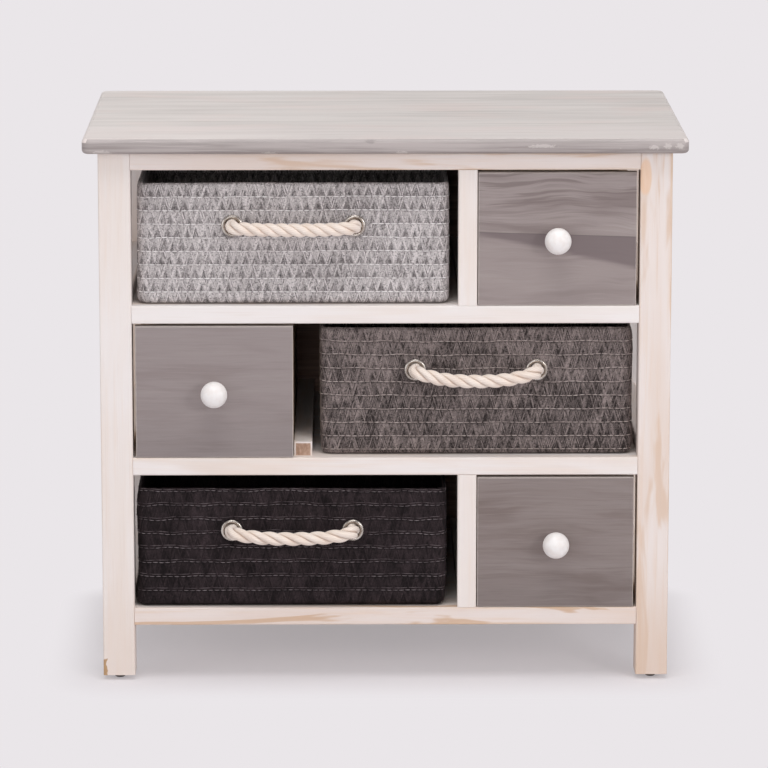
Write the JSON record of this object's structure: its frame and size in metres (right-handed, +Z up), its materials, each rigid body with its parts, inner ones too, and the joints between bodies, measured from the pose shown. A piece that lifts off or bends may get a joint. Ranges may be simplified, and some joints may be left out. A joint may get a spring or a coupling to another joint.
{
  "type": "chest of drawers with baskets",
  "caption": "Low open-sided wooden chest with flush wooden drawers and woven rope-handled baskets in alternating bays.",
  "frame": {"origin": "on the floor, at the middle of the part's box from left to right and from the knobs' fronts to the top board's back edge", "axes": "+Z up, +X to the right as seen from the front, -Y towards the front, the way the drawers open"},
  "size_m": [0.6, 0.393, 0.5535],
  "materials": {
    "whitewashed_wood": "thin white wash over pale wood, satin",
    "grey_washed_top": "pale grey wash with streaked grain, satin",
    "grey_washed_front": "grey-brown wash with streaked grain, matt",
    "raw_wood": "bare planed pale wood",
    "plywood": "bare thin plywood",
    "white_knob": "white paint on turned wood",
    "zinc_screw": "zinc plated",
    "nickel_eyelet": "nickel plated",
    "cotton_rope": "twisted cotton",
    "weave_light_grey": "sewn flat braid",
    "weave_mid_grey": "sewn flat braid",
    "weave_black": "sewn flat braid",
    "dark_glide": "moulded"
  },
  "bodies": {
    "carcass": {"back_panel": "plywood", "back_rail_lower": "whitewashed_wood", "back_rail_top": "whitewashed_wood", "divider_lower": "whitewashed_wood", "divider_upper": "whitewashed_wood", "foot_glides": "dark_glide", "front_rail_lower": "whitewashed_wood", "front_rail_middle": "whitewashed_wood", "front_rail_top": "whitewashed_wood", "front_rail_upper": "whitewashed_wood", "guide_lower": "whitewashed_wood", "guide_middle": "whitewashed_wood", "guide_upper": "whitewashed_wood", "post_back_left": "whitewashed_wood", "post_back_right": "whitewashed_wood", "post_front_left": "whitewashed_wood", "post_front_right": "whitewashed_wood", "shelf_lower": "whitewashed_wood", "shelf_middle": "whitewashed_wood", "shelf_upper": "whitewashed_wood", "side_rail_left_lower": "whitewashed_wood", "side_rail_left_middle": "whitewashed_wood", "side_rail_left_top": "whitewashed_wood", "side_rail_left_upper": "whitewashed_wood", "side_rail_right_lower": "whitewashed_wood", "side_rail_right_middle": "whitewashed_wood", "side_rail_right_top": "whitewashed_wood", "side_rail_right_upper": "whitewashed_wood", "top_board": "grey_washed_top"},
    "drawer_lower": {"drawer_lower_back": "raw_wood", "drawer_lower_bottom": "plywood", "drawer_lower_front": "grey_washed_front", "drawer_lower_knob": "white_knob", "drawer_lower_knob_screw": "zinc_screw", "drawer_lower_side_left": "raw_wood", "drawer_lower_side_right": "raw_wood"},
    "drawer_middle": {"drawer_middle_back": "raw_wood", "drawer_middle_bottom": "plywood", "drawer_middle_front": "grey_washed_front", "drawer_middle_knob": "white_knob", "drawer_middle_knob_screw": "zinc_screw", "drawer_middle_side_left": "raw_wood", "drawer_middle_side_right": "raw_wood"},
    "drawer_upper": {"drawer_upper_back": "raw_wood", "drawer_upper_bottom": "plywood", "drawer_upper_front": "grey_washed_front", "drawer_upper_knob": "white_knob", "drawer_upper_knob_screw": "zinc_screw", "drawer_upper_side_left": "raw_wood", "drawer_upper_side_right": "raw_wood"},
    "basket_lower": {"basket_lower_eyelets": "nickel_eyelet", "basket_lower_rope": "cotton_rope", "basket_lower_shell": "weave_black"},
    "basket_middle": {"basket_middle_eyelets": "nickel_eyelet", "basket_middle_rope": "cotton_rope", "basket_middle_shell": "weave_mid_grey"},
    "basket_upper": {"basket_upper_eyelets": "nickel_eyelet", "basket_upper_rope": "cotton_rope", "basket_upper_shell": "weave_light_grey"}
  },
  "joints": [
    {"name": "drawer_lower_slide", "type": "slide", "parent": "carcass", "child": "drawer_lower", "axis": [0, -1, 0], "range_m": [0, 0.2]},
    {"name": "drawer_middle_slide", "type": "slide", "parent": "carcass", "child": "drawer_middle", "axis": [0, -1, 0], "range_m": [0, 0.2]},
    {"name": "drawer_upper_slide", "type": "slide", "parent": "carcass", "child": "drawer_upper", "axis": [0, -1, 0], "range_m": [0, 0.2]},
    {"name": "basket_lower_slide", "type": "slide", "parent": "carcass", "child": "basket_lower", "axis": [0, -1, 0], "range_m": [0, 0.2]},
    {"name": "basket_middle_slide", "type": "slide", "parent": "carcass", "child": "basket_middle", "axis": [0, -1, 0], "range_m": [0, 0.2]},
    {"name": "basket_upper_slide", "type": "slide", "parent": "carcass", "child": "basket_upper", "axis": [0, -1, 0], "range_m": [0, 0.2]}
  ]
}
